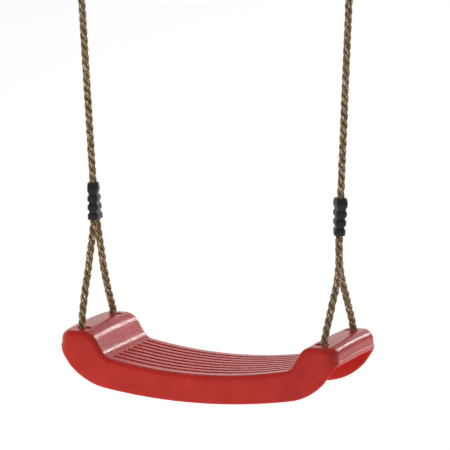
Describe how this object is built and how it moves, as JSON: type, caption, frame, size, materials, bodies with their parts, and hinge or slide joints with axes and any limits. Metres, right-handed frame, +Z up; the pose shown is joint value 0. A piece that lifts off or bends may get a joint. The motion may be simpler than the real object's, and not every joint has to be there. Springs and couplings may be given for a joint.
{
  "type": "board swing",
  "caption": "Dished board swing seat in moulded plastic with raised rolled ends, hung on forked ropes with ribbed sleeves from a pair of steel rings.",
  "frame": {"origin": "midway between the two hanging points, which are the tops of the insides of the two rings", "axes": "+X along the seat from the left ring to the right ring, +Y from the front of the seat to its back, +Z up"},
  "size_m": [0.474, 0.166, 0.7541],
  "materials": {
    "seat_plastic": "satin, finely pebbled on top",
    "sleeve_plastic": "satin black moulding",
    "rope": "laid hemp-look fibre",
    "steel": "galvanised"
  },
  "bodies": {
    "rings": {"left_ring": "steel", "right_ring": "steel"},
    "left_eye": {"left_thimble": "steel", "left_eye_rope": "rope", "left_upper_sleeve": "sleeve_plastic"},
    "left_line": {"left_rope": "rope"},
    "left_grip": {"left_lower_sleeve": "sleeve_plastic"},
    "seat": {"seat": "seat_plastic", "left_fork_rope": "rope", "right_fork_rope": "rope"},
    "right_eye": {"right_thimble": "steel", "right_eye_rope": "rope", "right_upper_sleeve": "sleeve_plastic"},
    "right_line": {"right_rope": "rope"},
    "right_grip": {"right_lower_sleeve": "sleeve_plastic"}
  },
  "joints": [
    {"name": "swing", "type": "hinge", "parent": "rings", "child": "left_eye", "pos_m": [-0.2075, 0, -0.0485], "axis": [1, 0, 0], "range_deg": [-60, 60]},
    {"name": "right_swing", "type": "hinge", "parent": "rings", "child": "right_eye", "pos_m": [0.2075, 0, -0.0485], "axis": [1, 0, 0], "range_deg": [-60, 60]},
    {"name": "sway", "type": "hinge", "parent": "left_eye", "child": "left_line", "pos_m": [-0.2075, 0, -0.1482], "axis": [0, 1, 0], "range_deg": [-10, 10]},
    {"name": "right_sway", "type": "hinge", "parent": "right_eye", "child": "right_line", "pos_m": [0.2075, 0, -0.1482], "axis": [0, 1, 0], "range_deg": [-10, 10]},
    {"name": "left_level", "type": "hinge", "parent": "left_line", "child": "left_grip", "pos_m": [-0.19157, 0, -0.4522], "axis": [0, 1, 0], "range_deg": [-11, 11]},
    {"name": "right_level", "type": "hinge", "parent": "right_line", "child": "right_grip", "pos_m": [0.19157, 0, -0.4522], "axis": [0, 1, 0], "range_deg": [-11, 11]},
    {"name": "seat_tilt", "type": "hinge", "parent": "left_grip", "child": "seat", "pos_m": [-0.18879, 0, -0.50513], "axis": [1, 0, 0], "range_deg": [-15, 15]}
  ],
  "couplings": [
    {"joint": "right_swing", "follows": "swing", "ratio": 1},
    {"joint": "right_sway", "follows": "sway", "ratio": 1},
    {"joint": "left_level", "follows": "sway", "ratio": -1.0832},
    {"joint": "right_level", "follows": "sway", "ratio": -1.0832}
  ]
}
